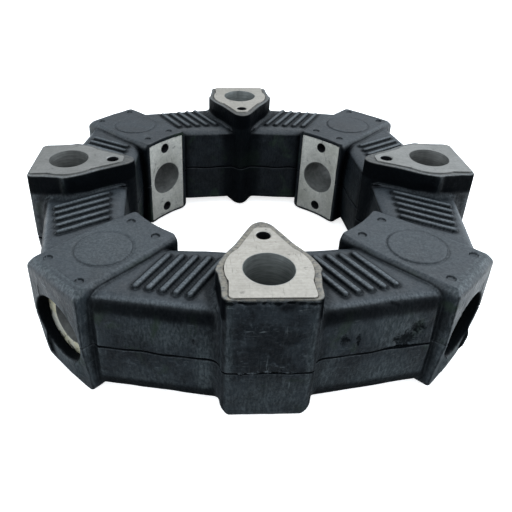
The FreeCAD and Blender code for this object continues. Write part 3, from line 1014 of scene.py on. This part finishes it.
# darker copy of the machined alloy: painted shade for the inserts at the sides
SHADED_ALLOY = metal_material(
    "machined_alloy_shaded", low=(0.195, 0.195, 0.186), high=(0.280, 0.275, 0.262),
    stain=(0.14, 0.14, 0.13), walls=(0.20, 0.20, 0.19),
    grain_along=(60.0, 1500.0, 60.0), rough=0.40, radial=False)
CAST = metal_material(
    "stained_alloy", low=(0.48, 0.47, 0.43), high=(0.70, 0.68, 0.62),
    stain=(0.28, 0.28, 0.22), walls=(0.19, 0.19, 0.18),
    grain_along=(300.0, 300.0, 500.0), rough=0.42, radial=True)


# ------------------------------------------------------------------ rubber pieces
source = eighth()
pillar_half = prepare(portion(source, (*PILLAR_PLANE, False)))
block_half = prepare(portion(source, (*BLOCK_PLANE, True)))
limb_part = prepare(portion(source, (*PILLAR_PLANE, True), (*BLOCK_PLANE, False)))
source.free()

pillar_part = joined(pillar_half, mirrored(pillar_half, "pillar"))
block_part = joined(block_half, mirrored(block_half, "block"))
limb_mirror = mirrored(limb_part, "pillar")


def limb_blend(obj):
    """Bakes the placement of the limb into its points."""
    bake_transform(obj)


for n, side in enumerate(SIDES):
    angle = SIDE_ANGLE[side]
    post = make_piece("rubber_pillar_" + side, pillar_part, angle)
    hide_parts("axial_jacket_" + side)
    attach(post, ROOT)
    for sign, corner in ((1, CORNERS[n]), (-1, CORNERS[n - 1])):
        name = "limb_" + side + "_to_" + corner
        arm = make_piece("rubber_" + name, limb_part if sign > 0 else limb_mirror, angle)
        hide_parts(name)
        limb_blend(arm)
    corner = CORNERS[n]
    lump = make_piece("rubber_block_" + corner, block_part, angle)
    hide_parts("radial_jacket_" + corner)
    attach(lump, "radial_side_" + corner)


# ------------------------------------------------------------------ metal inserts
def finish_metal(obj, mat):
    """Gives a carried-over insert its alloy and slightly rounded edges."""
    obj.data.materials.clear()
    obj.data.materials.append(mat)
    weld = obj.modifiers.new("weld", "WELD")
    weld.merge_threshold = 1e-6
    edge = obj.modifiers.new("edge", "BEVEL")
    edge.width = 0.0003
    edge.segments = 3
    edge.limit_method = "ANGLE"
    edge.angle_limit = math.radians(35)
    edge.harden_normals = True


# the left and right inserts take the darker copy of the same alloy: painted shade
for side in SIDES:
    finish_metal(NODES["axial_insert_" + side], BRIGHT if side in ("front", "back") else SHADED_ALLOY)
for corner in CORNERS:
    finish_metal(NODES["radial_insert_" + corner], CAST)


# ------------------------------------------------------------------ stage, light, camera
FLOOR_HALF = 6.0             # m
FLOOR_Z = -0.0003


def floor_material():
    """Pale floor. To the eye it is nearly white; to other rays it darkens in front of and
    under the ring, and glows where pale surroundings would light the outer faces."""
    mat, tree, shader = material("pale_floor")
    x, y, _ = parts_of(tree, object_place(tree))
    out = times(tree, maths(tree, "ABSOLUTE", x), 5.0)
    front = curve(tree, maths(tree, "MULTIPLY_ADD", y, 2.0, 0.8), ((0.40, 0.10), (0.61, 1.0)))
    side = curve(tree, out, ((0.40, 0.34), (0.56, 0.95)))
    seen = node(tree, "ShaderNodeLightPath").outputs["Is Camera Ray"]
    colour = mix(tree, seen, mix(tree, 1.0, front, side, "MULTIPLY"), grey(0.90))
    tree.links.new(colour, shader.inputs["Base Color"])
    shader.inputs["Roughness"].default_value = 1.0
    shader.inputs["Specular IOR Level"].default_value = 0.0
    shader.inputs["Emission Color"].default_value = (1.0, 1.0, 1.0, 1.0)
    ends = curve(tree, out, ((0.50, 0.0), (0.68, 0.50)))
    tree.links.new(mix(tree, seen, ends, grey(0.75)), shader.inputs["Emission Strength"])
    return mat


def lay_floor():
    mesh = bpy.data.meshes.new("floor")
    corners = [(-1, -1), (1, -1), (1, 1), (-1, 1)]
    mesh.from_pydata([(FLOOR_HALF * x, FLOOR_HALF * y, FLOOR_Z) for x, y in corners],
                     [], [(0, 1, 2, 3)])
    mesh.materials.append(floor_material())
    floor = bpy.data.objects.new("floor", mesh)
    bpy.context.scene.collection.objects.link(floor)


def studio():
    """Surroundings that are white to the eye. To other rays there is a wall behind, brightest
    about a third of the way up, tall windows at both sides, and in front a bright ceiling
    over a dark wall."""
    world = bpy.data.worlds.new("studio")
    world.use_nodes = True
    tree = world.node_tree
    background = tree.nodes["Background"]
    x, y, z = parts_of(tree, node(tree, "ShaderNodeTexCoord").outputs["Generated"])
    depth = maths(tree, "MULTIPLY_ADD", y, 0.5, 0.5)
    behind = curve(tree, depth, ((0.22, 0.04), (0.50, 1.0)))
    rise = curve(tree, z, ((0.20, 0.20), (0.42, 0.17), (0.57, 1.12), (0.72, 1.02), (1.0, 0.9)))
    level = times(tree, times(tree, behind, rise), maths(tree, "MULTIPLY_ADD", x, 1.25, 1.10))
    windows = times(tree, times(tree, x, x),
                    curve(tree, z, ((0.05, 0.4), (0.25, 1.0), (0.50, 0.8), (0.75, 0.0))))
    level = maths(tree, "ADD", level, times(tree, windows, 3.0))
    ceiling = times(tree, curve(tree, z, ((0.20, 0.0), (0.50, 1.0), (1.0, 0.62))), 2.1)
    in_front = curve(tree, depth, ((0.38, 1.0), (0.50, 0.0)))
    level = maths(tree, "MAXIMUM", level, times(tree, ceiling, in_front))
    seen = node(tree, "ShaderNodeLightPath").outputs["Is Camera Ray"]
    level = maths(tree, "MAXIMUM", level, seen)
    tree.links.new(level, background.inputs["Strength"])
    tint = mix(tree, seen, (0.85, 0.94, 1.02), (1.0, 1.0, 1.0))
    tree.links.new(tint, background.inputs["Color"])
    bpy.context.scene.world = world


def soft_light(name, at, target, size, power):
    data = bpy.data.lights.new(name, "AREA")
    data.shape = "RECTANGLE"
    data.size = size
    data.size_y = size
    data.energy = power
    obj = bpy.data.objects.new(name, data)
    obj.location = at
    obj.rotation_euler = (Vector(target) - Vector(at)).to_track_quat("-Z", "Y").to_euler()
    bpy.context.scene.collection.objects.link(obj)


EYE = Vector((-21.84, -230.36, 170.0)) * MM
FORWARD = Vector((0.0219, 0.8656, -0.5002)).normalized()
ROLL = math.radians(0.488)


def place_camera():
    data = bpy.data.cameras.new("camera")
    data.sensor_width = 36.0
    data.lens = 39.41
    data.shift_x = 0.0802
    data.shift_y = -0.1164
    data.clip_start = 0.01
    data.clip_end = 50.0
    camera = bpy.data.objects.new("camera", data)
    right = FORWARD.cross(Vector((0, 0, 1))).normalized()
    up = right.cross(FORWARD)
    c, s = math.cos(ROLL), math.sin(ROLL)
    right, up = right * c + up * s, up * c - right * s
    camera.matrix_world = Matrix((
        (right.x, up.x, -FORWARD.x, EYE.x),
        (right.y, up.y, -FORWARD.y, EYE.y),
        (right.z, up.z, -FORWARD.z, EYE.z),
        (0, 0, 0, 1),
    ))
    bpy.context.scene.collection.objects.link(camera)
    bpy.context.scene.camera = camera


lay_floor()
studio()
soft_light("top_back", (0.05, 0.55, 0.85), (0, 0, 0.03), 0.9, 2.5)
place_camera()
bpy.context.scene.view_settings.view_transform = "Standard"
